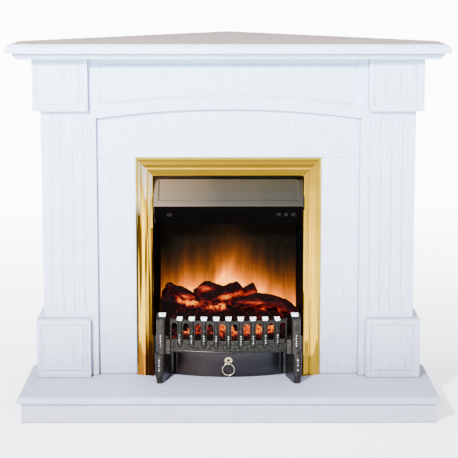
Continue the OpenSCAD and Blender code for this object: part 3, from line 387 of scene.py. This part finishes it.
# painted light and shade: the shelf's top is tinted darker and browner, the hearth's top slightly
# tinted
VENEER_SHELF_SHADED_TOP = veneer("veneer_shelf_shaded_top", "x", (0.66, 0.36, 0.26))
VENEER_HEARTH_TINTED_TOP = veneer("veneer_hearth_tinted_top", "x", (1.0, 0.96, 1.0))
BRASS = brass_material("polished_brass", False)
# the left strip of trim carries painted reflections
BRASS_LEFT_REFLECTIONS = brass_material("polished_brass_left_reflections", True)
HOOD = hood_material()
DARK = metal_with_rubbed_highlit_caps("dark_bronze", (0.020, 0.0175, 0.0140), (0.019, 0.0175, 0.0150), RUBBED_CAP_HIGHLIGHT)
POST = metal_with_rubbed_highlit_caps("post_bronze", (0.028, 0.024, 0.019), (0.030, 0.026, 0.021), RUBBED_CAP_HIGHLIGHT, 0.34,
                    piece="post_left", rim=0.0050, crown=0.0)
PAN = metal_with_rubbed_highlit_caps("pan_bronze", (0.028, 0.018, 0.015), (0.030, 0.031, 0.037),
                   (0.45, 0.43, 0.42), 0.26, 0.12)
BEAD_HIGHLIGHT = bead_rubs_and_highlights()
GOLD = simple("antique_brass", (0.60, 0.50, 0.32), 1.0, 0.22)
BLACK = simple("black_enamel", (0.0015, 0.0012, 0.0013), 0.0, 0.7, 0.1, spec=0.01)
SATIN = simple("satin_black_sheet", (0.012, 0.012, 0.013), 0.0, 0.42, 0.12, 900)
PLASTIC = simple("black_plastic", (0.006, 0.006, 0.006), 0.0, 0.5, 0.25, 1500, 0.12)
BRIGHT = simple("rolled_sheet", (0.74, 0.74, 0.75), 1.0, 0.30, 0.05)
ZINC = simple("zinc_plate", (0.50, 0.52, 0.54), 1.0, 0.38, 0.1)
BUSH = simple("sintered_bronze", (0.42, 0.27, 0.14), 1.0, 0.45, 0.2)
JOINT_SHADOW = simple("joint_shadow", (0.22, 0.26, 0.33), 0.0, 0.8)
BATTEN = batten_material()
LENS = new_material("dark_lens", (0.010, 0.008, 0.008), 0.0, 0.35, spec=0.12)[0]
LAMP = lamp_material()
FLAME = flame_material()
EMBER = lit_material("ember_bed_paint", (0.0008, 0.0005, 0.0005), (0.0045, 0.0012, 0.0013),
                     (150, 150, 150), 0.42, 0.004)
BARK = lit_material("painted_bark", (0.0010, 0.0005, 0.0005), (0.0070, 0.0016, 0.0018),
                    (60, 150, 190), 0.36, 0.005)

DRESS = {
    VENEER_SHELF_SHADED_TOP: "mantel_board",
    VENEER_HEARTH_TINTED_TOP: "hearth_slab",
    VENEER_X: "mantel_subboard cornice_front plinth_front",
    VENEER_Y: "cornice_returns plinth_left plinth_right",
    VENEER_Z: "frieze_board fascia_header fascia_left fascia_right face_board_left "
              "face_board_right cap_block_left cap_block_right base_block_left "
              "base_block_right block_returns side_panel_left side_panel_right",
    BATTEN: "carcass_battens wall_rails",
    BRASS: "trim_right trim_top",
    BRASS_LEFT_REFLECTIONS: "trim_left",
    HOOD: "hood",
    BLACK: "heater_shelf vent_panel cheek_left cheek_right",
    SATIN: "housing_left housing_right housing_top housing_base housing_back",
    PLASTIC: "switch_power switch_low_heat switch_high_heat switch_frames mains_gland",
    LENS: "receiver_window",
    FLAME: "flame_screen",
    EMBER: "ember_bed",
    BARK: "back_logs front_logs",
    LAMP: "led_strips",
    DARK: "fret",
    POST: "post_left post_right",
    PAN: "ashpan_cover",
    GOLD: "ring_boss ring_pull",
    BRIGHT: "flame_rotor fan_impeller fan_casing heating_element",
    ZINC: "rotor_motor fan_motor",
    BUSH: "rotor_bush",
}
for material, names in DRESS.items():
    for name in names.split():
        for s in NODES[name].material_slots:
            s.link = "OBJECT"
            s.material = material


# ---- meshes ----
def make_mesh(name, verts, faces, material, glow=None, smooth=True):
    """A new object; 'glow' says for each point how bright its own light is."""
    me = bpy.data.meshes.new(name)
    me.from_pydata([tuple(v) for v in verts], [], faces)
    me.update()
    if smooth:
        me.polygons.foreach_set("use_smooth", [True] * len(me.polygons))
    if glow is not None:
        a = me.attributes.new("glow", "FLOAT", "POINT")
        a.data.foreach_set("value", np.asarray(glow, dtype=np.float32))
    me.materials.append(material)
    o = bpy.data.objects.new(name, me)
    bpy.context.scene.collection.objects.link(o)
    return o


def grid_faces(nu, nv, start=0, wrap=False, flip=False):
    """Faces between nv rows of nu points each; 'wrap' closes each row on itself."""
    out = []
    for j in range(nv - 1):
        for i in range(nu if wrap else nu - 1):
            a = start + j * nu + i
            b = start + j * nu + (i + 1) % nu
            f = (a, b, b + nu, a + nu)
            out.append(f[::-1] if flip else f)
    return out


# Logs, in millimetres: x, depth behind the fascia, height above the bed's floor, radius
BED_Z0 = 180.3
LOGS = {
    "back_logs": [
        [(-168, 66, 127, 9), (-140, 68, 113, 14), (-106, 64, 97, 14)],
        [(-89, 92, 104, 11), (-60, 90, 121, 16), (-20, 88, 108, 13)],
        [(16, 76, 90, 13), (66, 82, 113, 15)],
    ],
    "front_logs": [
        [(-72, 24, 98, 15), (-26, 38, 108, 18), (20, 52, 124, 19)],
        [(24, -2, 94, 15), (78, 4, 102, 20), (130, 6, 98, 19), (180, 8, 72, 14)],
    ],
}
# How far aslant each log is cut at its two ends
CUTS = {
    "back_logs": [(0.1, 0.0), (0.2, -0.1), (0.0, 0.0)],
    "front_logs": [(0.3, -0.35), (0.5, 0.0)],
}
# Hot places of the fire, on the fascia plane: x, height, half width, half height, heat
HOT = [
    (-12, 291, 22, 7, 1.1), (-98, 274, 22, 9, 1.05), (-132, 279, 18, 6, 0.85),
    (-15, 264, 8, 9, 1.0), (-38, 263, 24, 11, 0.68), (60, 275, 46, 5, 0.85),
    (96, 257, 22, 7, 0.50), (-112, 293, 34, 7, 0.72), (-68, 317, 30, 8, 0.85),
    (36, 300, 26, 8, 0.70), (-72, 258, 10, 5, 0.50), (142, 250, 10, 12, 0.45),
    (66, 306, 16, 9, 0.55),
]
EYE = Vector([1000 * v for v in CAMERA_AT])


def heat(p):
    """How hot a point of the fire is, from the hot place that the camera sees it against."""
    k = (FASCIA_Y * 1000 - EYE.y) / (FASCIA_Y * 1000 + p[1] - EYE.y)
    u = EYE.x + (p[0] - EYE.x) * k
    w = EYE.z + (BED_Z0 + p[2] - EYE.z) * k
    return sum(h * math.exp(-((u - a) / c) ** 2 - ((w - b) / d) ** 2) for a, b, c, d, h in HOT)


def row(p):
    """Millimetres behind the fascia and over the bed's floor, to metres in the shared frame."""
    return Vector((p[0] / 1000, FASCIA_Y + p[1] / 1000, (BED_Z0 + p[2]) / 1000))


def smooth_path(points, count):
    """Points along a log, with its radius, eased between the given ones."""
    pts = np.array(points, float)
    seg = np.linalg.norm(np.diff(pts[:, :3], axis=0), axis=1)
    at = np.concatenate([[0], np.cumsum(seg)])
    s = np.linspace(0, at[-1], count)
    out = np.stack([np.interp(s, at, pts[:, k]) for k in range(4)], 1)
    for _ in range(5):
        out[1:-1] = 0.25 * out[:-2] + 0.5 * out[1:-1] + 0.25 * out[2:]
    return out


LOG_RINGS, LOG_AROUND = 50, 36
LOG_END = ((0.88, 0.84), (0.80, 0.95), (0.45, 1.0))     # out from the end and radius, as shares
CUT_RINGS = 12                  # the slant of a cut end dies out over this many rings


def log_mesh(name, points, seed, cut):
    """A lumpy log with cut ends, that glows where the fire is hot and on its underside."""
    path = smooth_path(points, LOG_RINGS)
    head, tail = [], []
    for ends, end, inner in ((head, path[0], path[1]), (tail, path[-1], path[-2])):
        out = (end - inner)[:3] / np.linalg.norm((end - inner)[:3])
        for reach, share in LOG_END:
            p = end.copy()
            p[:3] += out * end[3] * reach
            p[3] *= share
            ends.append(p)
    path = np.array(head + list(path) + tail[::-1])
    verts, glow = [], []
    n = len(path)
    for i, p in enumerate(path):
        t = Vector(path[min(i + 1, n - 1), :3] - path[max(i - 1, 0), :3]).normalized()
        side = t.cross(Vector((0, 0, 1))).normalized()
        up = side.cross(t).normalized()
        lean = (cut[0] * max(0.0, 1 - i / CUT_RINGS)
                + cut[1] * max(0.0, 1 - (n - 1 - i) / CUT_RINGS))
        at_end = 1 if i < 2 or i > n - 3 else 0
        for k in range(LOG_AROUND):
            a = 2 * math.pi * k / LOG_AROUND
            sin, cos = math.sin(a), math.cos(a)
            d = side * cos + up * sin
            q = Vector(p[:3]) + d * p[3]
            w = noise.noise(Vector((q.x * 0.045 + seed, q.y * 0.06, q.z * 0.06)))
            v = noise.noise(Vector((i * 0.07 + seed, cos * 3, sin * 3)))
            f = noise.noise(Vector((i * 0.25 + seed, cos * 7, sin * 7)))
            r = p[3] * min(1.06, 0.92 + 0.26 * w + 0.14 * v + 0.10 * f)
            spot = Vector(p[:3]) + d * r + t * lean * p[3] * sin
            verts.append(row(spot))
            glow.append(0.22 - 0.16 * sin + 0.22 * w + 0.30 * f + 0.62 * heat(spot)
                        - 0.15 * at_end)
    faces = grid_faces(LOG_AROUND, n, wrap=True)
    for base, p, flip in ((0, path[0], True), ((n - 1) * LOG_AROUND, path[-1], False)):
        c = len(verts)
        verts.append(row(p[:3]))
        glow.append(0.1)
        for k in range(LOG_AROUND):
            f = (base + k, base + (k + 1) % LOG_AROUND, c)
            faces.append(f[::-1] if flip else f)
    return make_mesh(name, verts, faces, BARK, glow)


for node, logs in LOGS.items():
    made = [log_mesh("%s_%d" % (node, i), pts, 3.7 * i + len(node), CUTS[node][i])
            for i, pts in enumerate(logs)]
    for o in made:
        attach(o, "surround")
    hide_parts(node)


# ---- bed of embers, in millimetres ----
FRET_HALF, FRET_BOW, FRET_FRONT = 159.0, 26.0, 98.0     # half its width, its bow, its front
BOW_R = (FRET_HALF ** 2 + FRET_BOW ** 2) / (2 * FRET_BOW)
BOW_Y = BOW_R - FRET_FRONT
BED_FRONT_X, BED_BACK_X, BED_BACK = 155.0, 188.5, 108.5
BED_BEHIND_FRET = 9
BED_NU, BED_NV, BED_LEVELS = 201, 91, 26        # points across, back and down the walls
# The heap's height in front, what it rises to the back and at the left, and what it falls sideways
HEAP_FRONT, BACK_RISE, LEFT_RISE, SIDE_FALL, HEAP_LEAST = 58, 42, 30, 16, 20
COALS, COAL_R, COAL_TALL, COAL_SUNK = 120, 23, 20, 12
LUMPS, LUMP_R, LUMP_TALL, WALL_IN = 190, 11, 3.2, 1.2
# How bright each window of the fret is, from the left
WINDOWS = [0.70, 1.05, 0.50, 0.42, 0.80, 0.95, 0.88, 0.85, 0.70, 0.15]


def under_logs(x, y):
    """Height of the underside of the logs over each point, or a high value."""
    low = np.full(x.shape, 1e3)
    for logs in LOGS.values():
        for pts in logs:
            for a, b in zip(pts[:-1], pts[1:]):
                dx, dy = b[0] - a[0], b[1] - a[1]
                t = np.clip(((x - a[0]) * dx + (y - a[1]) * dy) / (dx * dx + dy * dy), 0, 1)
                r = a[3] + (b[3] - a[3]) * t
                z = a[2] + (b[2] - a[2]) * t
                g = np.hypot(x - a[0] - t * dx, y - a[1] - t * dy)
                h = np.where(g < r, z - np.sqrt(np.maximum(r * r - g * g, 0)) - 1.0,
                             np.where(g < r + 8, z - 0.5 * r, 1e3))
                low = np.minimum(low, h)
    return low


def bed_top(rng):
    """The coals from above, as a grid of points, and how much each point glows."""
    s = np.linspace(-1, 1, BED_NU)[None, :].repeat(BED_NV, 0)
    t = np.linspace(0, 1, BED_NV)[:, None].repeat(BED_NU, 1)
    wider = np.clip((t - 0.45) / 0.08, 0, 1)
    x = s * (BED_FRONT_X + (BED_BACK_X - BED_FRONT_X) * wider)
    front = BOW_Y - np.sqrt((BOW_R - BED_BEHIND_FRET) ** 2 - np.minimum(BED_FRONT_X, abs(x)) ** 2)
    y = front + (BED_BACK - front) * t
    # a heap that rises to the back and on the left, covered with round coals
    rise = (BACK_RISE * np.interp(x, [20, 80], [1, 0.3])
            + LEFT_RISE * np.exp(-((x + 166) / 26) ** 2))
    heap = HEAP_FRONT + rise * np.sin(t * math.pi / 2) - SIDE_FALL * s ** 4
    coals = np.stack([rng.uniform(-190, 190, COALS), rng.uniform(-92, 112, COALS),
                      rng.uniform(0.7, 1.35, COALS)], 1)
    d = np.hypot(x[..., None] - coals[:, 0], 1.15 * (y[..., None] - coals[:, 1])) / coals[:, 2]
    near = np.sort(d, axis=-1)
    dome = COAL_TALL * np.sqrt(np.clip(1 - (near[..., 0] / COAL_R) ** 2, 0, 1)) - COAL_SUNK
    crack = 1 - np.clip((near[..., 1] - near[..., 0]) / 9, 0, 1)
    rough = np.array([[noise.noise(Vector((a * 0.11, b * 0.11, 4.0))) for a, b in zip(xa, ya)]
                      for xa, ya in zip(x, y)])
    z = np.minimum(heap + dome + 5 * rough, under_logs(x, y))
    z = np.maximum(z, HEAP_LEAST)
    z -= 6 * (1 - np.clip(t / 0.05, 0, 1))      # rounded over along the front
    top = np.stack([x, y, z], -1).reshape(-1, 3)
    hot = np.array([heat(p) for p in top]).reshape(x.shape)
    glow = 0.10 + hot * (0.62 + 0.45 * crack) + 0.16 * crack + 0.34 * rough
    return top, list(glow.reshape(-1))


def window_glow(x, z):
    """How much the bed's front wall glows behind the windows of the fret."""
    glow = WINDOWS[round(x / WINDOW_STEP + BARS / 2)]
    glow *= 0.95 + 0.35 * noise.noise(Vector((x * 0.03, z * 0.06, 2.0)))
    glow = min(0.78, glow) + 0.55 * noise.noise(Vector((x * 0.27, z * 0.20, 11.3)))
    return glow - 0.55 * min(1, max(0, (31 - z) / 8))       # dark behind the fret's foot


def bed_mesh():
    """The bed: coals on top, a lumpy front wall, plain side and back walls, and a flat bottom."""
    rng = np.random.default_rng(5)
    top, glow = bed_top(rng)
    lumps = np.stack([rng.uniform(-160, 160, LUMPS), rng.uniform(0, 70, LUMPS)], 1)
    verts = [row(p) for p in top]
    faces = grid_faces(BED_NU, BED_NV)
    back = (BED_NV - 1) * BED_NU
    rim = (list(range(BED_NU)) + [j * BED_NU + BED_NU - 1 for j in range(1, BED_NV)]
           + [back + i for i in range(BED_NU - 2, -1, -1)]
           + [j * BED_NU for j in range(BED_NV - 2, 0, -1)])
    above = rim
    for level in range(1, BED_LEVELS + 1):
        below = []
        for index in rim:
            x, y, z = top[index]
            z = z * (1 - level / BED_LEVELS)
            shade = 0.05
            if index < BED_NU:
                near = np.hypot(lumps[:, 0] - x, lumps[:, 1] - z).min()
                if level < BED_LEVELS:
                    y = y - LUMP_TALL * math.sqrt(max(0, 1 - (near / LUMP_R) ** 2))
                y = y + WALL_IN
                shade = window_glow(x, z)
            below.append(len(verts))
            verts.append(row((x, y, z)))
            glow.append(shade)
        for a in range(len(rim)):
            b = (a + 1) % len(rim)
            faces.append((above[a], below[a], below[b], above[b]))
        above = below
    faces.append(tuple(above[::-1]))
    return make_mesh("ember_heap", verts, faces, EMBER, glow)


heap = bed_mesh()
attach(heap, "surround")
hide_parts("ember_bed")


# ---- painted shadow hairlines on the joints between the header and the two boards under it ----
JOINT_WIDE, JOINT_PROUD, JOINT_DOWN = 0.0011, 0.00008, 0.001


def joint_lines():
    """A flat strip on each joint, just in front of the boards and under the trim's top edge."""
    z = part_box("trim_top")[1][2] - JOINT_DOWN
    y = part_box("fascia_header")[0][1] - JOINT_PROUD
    verts, faces = [], []
    for name in ("fascia_left", "fascia_right"):
        low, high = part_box(name)
        start = len(verts)
        for x, up in ((low[0], 0), (high[0], 0), (high[0], 1), (low[0], 1)):
            verts.append((x, y, z + (up - 0.5) * JOINT_WIDE))
        faces.append((start, start + 1, start + 2, start + 3))
    return make_mesh("fascia_joints", verts, faces, JOINT_SHADOW, smooth=False)


joints = joint_lines()
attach(joints, "surround")


# ---- rubbed beads on the bars and posts, with painted highlights, in millimetres ----
BEAD_PROUD, BEAD_LESS = 0.75, 0.55      # a rubbed, highlighted spot's centre is this much forward, its radius less
BAR_BEAD_R, POST_BEAD_R = 2.4, 2.6
BAR_BEADS, BAR_BEAD_Z, BAR_BEAD_STEP, BAR_BEAD_OUT = 4, 188, 6.5, 8.2
POST_BEADS, POST_BEAD_STEP = 5, 7
POST_ROWS = ((184, -93.2, 178), (188.5, -93.1, 110))    # x, y and lowest height of each row


def bead_places():
    """Centre and radius of each rubbed spot with its painted highlight."""
    out = BOW_R + BAR_BEAD_OUT
    for i in range(BARS):
        a = (i - BARS // 2) * (WINDOW_STEP / BOW_R)
        for k in range(BAR_BEADS):
            yield (out * math.sin(a), BOW_Y - out * math.cos(a) - BEAD_PROUD,
                   BAR_BEAD_Z + k * BAR_BEAD_STEP, BAR_BEAD_R - BEAD_LESS)
    for side in (-1, 1):
        for k in range(POST_BEADS):
            for x, y, z in POST_ROWS:
                yield side * x, y - BEAD_PROUD, z + k * POST_BEAD_STEP, POST_BEAD_R - BEAD_LESS


def bead_highlight_mesh():
    """The beads' rubbed faces with painted highlights, as one mesh of small balls sunk into the
    castings' beads.
    """
    around, rows = 14, 8
    verts, faces = [], []
    for x, y, z, r in bead_places():
        x, y, z, r = x / 1000, FASCIA_Y + y / 1000, z / 1000, r / 1000
        start = len(verts)
        for j in range(rows):
            lat = math.pi * (j + 1) / (rows + 1)
            for k in range(around):
                lon = 2 * math.pi * k / around
                verts.append((x + r * math.sin(lat) * math.cos(lon),
                              y + r * math.sin(lat) * math.sin(lon), z + r * math.cos(lat)))
        faces += grid_faces(around, rows, start, wrap=True, flip=True)
        top, low = len(verts), len(verts) + 1
        verts += [(x, y, z + r), (x, y, z - r)]
        last = start + (rows - 1) * around
        for k in range(around):
            faces.append((start + k, start + (k + 1) % around, top))
            faces.append((last + (k + 1) % around, last + k, low))
    return make_mesh("bead_highlight_skins", verts, faces, BEAD_HIGHLIGHT)


beads = bead_highlight_mesh()
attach(beads, "surround")


# ---- stage ----
def soft_light(name, place, target, size, power, color):
    data = bpy.data.lights.new(name, "AREA")
    data.shape = "RECTANGLE"
    data.size, data.size_y = size
    data.energy = power
    data.color = color
    o = bpy.data.objects.new(name, data)
    o.location = place
    o.rotation_euler = (Vector(target) - Vector(place)).to_track_quat("-Z", "Y").to_euler()
    bpy.context.scene.collection.objects.link(o)


def floor_material():
    """Pale sweep, washed with light behind the fireplace."""
    m, t, b = new_material("pale_floor", (0.93, 0.93, 0.94), 0.0, 0.7, spec=0.1)
    back = maths(t, "MULTIPLY_ADD", axes(t, coords(t))[1], 0.2, 0.4, clamp=True)
    wash = ramp(t, back, [(0.20, (0.02, 0.02, 0.021)), (0.40, (0.13, 0.13, 0.132)),
                          (0.50, (0.28, 0.28, 0.283)), (0.66, (0.50, 0.50, 0.505)), (1.0, FULL)])
    link(t, wash, b.inputs["Emission Color"])
    b.inputs["Emission Strength"].default_value = 11.0
    return m


floor = make_mesh("floor", [(-60, -30, 0), (60, -30, 0), (60, 90, 0), (-60, 90, 0)],
                  [(0, 1, 2, 3)], floor_material(), smooth=False)

world = bpy.data.worlds.new("studio")
bpy.context.scene.world = world
world.use_nodes = True
wt = world.node_tree
background = wt.nodes["Background"]
_, behind, above = axes(wt, add(wt, "ShaderNodeTexCoord").outputs["Generated"])
level = maths(wt, "MULTIPLY_ADD", above, 0.5, 0.5)
# the room in front of the fireplace is dimmer than the sweep behind it
room = ramp(wt, level, [(0.48, (0.17, 0.17, 0.18)), (0.56, (0.30, 0.31, 0.33)),
                        (0.70, (0.62, 0.65, 0.70)), (0.86, (0.62, 0.65, 0.70)),
                        (1.0, (0.36, 0.37, 0.40))])
sweep = ramp(wt, level, [(0.50, (0.97, 0.98, 1.0)), (0.66, (0.92, 0.95, 1.0)),
                         (0.84, (0.40, 0.42, 0.46)), (1.0, (0.36, 0.37, 0.40))])
backward = maths(wt, "MULTIPLY_ADD", behind, 1.6, 0.35, clamp=True)
link(wt, blended(wt, backward, room, sweep), background.inputs["Color"])
background.inputs["Strength"].default_value = 2.0

soft_light("key", (-1.15, -3.0, 2.15), (0, -0.2, 0.80), (0.35, 0.35), 560, (0.94, 0.975, 1.0))
soft_light("fill", (1.9, -2.7, 2.3), (0, -0.2, 0.7), (1.4, 1.0), 60, (0.93, 0.97, 1.0))

PITCH, YAW = 7.5974, 0.1744     # degrees down from level, and degrees to the right
camera_data = bpy.data.cameras.new("camera")
camera_data.sensor_width = 36
camera_data.lens = 105.42
camera_data.shift_y = -0.18
camera_data.clip_end = 60
camera = bpy.data.objects.new("camera", camera_data)
camera.location = CAMERA_AT
camera.rotation_euler = (math.radians(90 - PITCH), 0, math.radians(-YAW))
bpy.context.scene.collection.objects.link(camera)
bpy.context.scene.camera = camera
